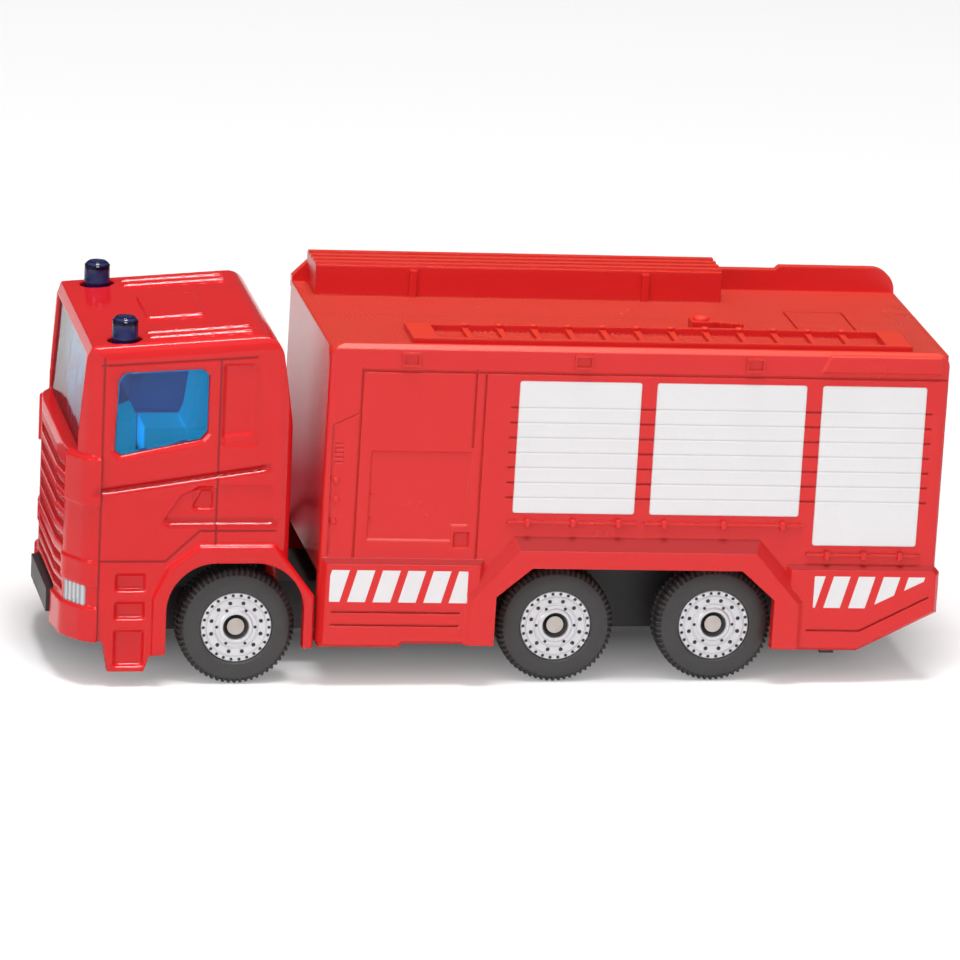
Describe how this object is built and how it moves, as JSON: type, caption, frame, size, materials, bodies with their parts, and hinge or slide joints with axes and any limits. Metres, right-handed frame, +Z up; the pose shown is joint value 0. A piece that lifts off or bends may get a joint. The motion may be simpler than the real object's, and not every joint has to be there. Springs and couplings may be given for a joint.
{
  "type": "toy fire truck",
  "caption": "Pocket-size die-cast toy fire truck with a hollow cab, blue glazing with beacons, a moulded fire body with shutters and roof ladder, and free-rolling wheels.",
  "frame": {"origin": "on the floor, below the middle of the toy's length and width", "axes": "+X towards the front of the truck, +Y to its left, +Z up"},
  "size_m": [0.0831, 0.0286, 0.0355],
  "materials": {
    "cab_paint": "gloss",
    "blue_glazing": "clear",
    "seat_plastic": "satin",
    "red_plastic": "satin",
    "black_plastic": "satin",
    "axle_steel": "bright",
    "rim_silver": "silver",
    "tyre_black": "matt"
  },
  "bodies": {
    "truck": {"cab_shell": "cab_paint", "cab_glazing": "blue_glazing", "cab_interior": "seat_plastic", "rear_body": "red_plastic", "base": "black_plastic", "axle_front": "axle_steel", "axle_middle": "axle_steel", "axle_rear": "axle_steel"},
    "wheel_front_left": {"rim_front_left": "rim_silver", "tyre_front_left": "tyre_black"},
    "wheel_front_right": {"rim_front_right": "rim_silver", "tyre_front_right": "tyre_black"},
    "wheel_middle_left": {"rim_middle_left": "rim_silver", "tyre_middle_left": "tyre_black"},
    "wheel_middle_right": {"rim_middle_right": "rim_silver", "tyre_middle_right": "tyre_black"},
    "wheel_rear_left": {"rim_rear_left": "rim_silver", "tyre_rear_left": "tyre_black"},
    "wheel_rear_right": {"rim_rear_right": "rim_silver", "tyre_rear_right": "tyre_black"}
  },
  "joints": [
    {"name": "front_left_roll", "type": "hinge", "parent": "truck", "child": "wheel_front_left", "pos_m": [0.0246, 0.0106, 0.0055], "axis": [0, 1, 0], "continuous": true},
    {"name": "front_right_roll", "type": "hinge", "parent": "truck", "child": "wheel_front_right", "pos_m": [0.0246, -0.0106, 0.0055], "axis": [0, 1, 0], "continuous": true},
    {"name": "middle_left_roll", "type": "hinge", "parent": "truck", "child": "wheel_middle_left", "pos_m": [-0.0054, 0.0106, 0.0055], "axis": [0, 1, 0], "continuous": true},
    {"name": "middle_right_roll", "type": "hinge", "parent": "truck", "child": "wheel_middle_right", "pos_m": [-0.0054, -0.0106, 0.0055], "axis": [0, 1, 0], "continuous": true},
    {"name": "rear_left_roll", "type": "hinge", "parent": "truck", "child": "wheel_rear_left", "pos_m": [-0.0204, 0.0106, 0.0055], "axis": [0, 1, 0], "continuous": true},
    {"name": "rear_right_roll", "type": "hinge", "parent": "truck", "child": "wheel_rear_right", "pos_m": [-0.0204, -0.0106, 0.0055], "axis": [0, 1, 0], "continuous": true}
  ]
}
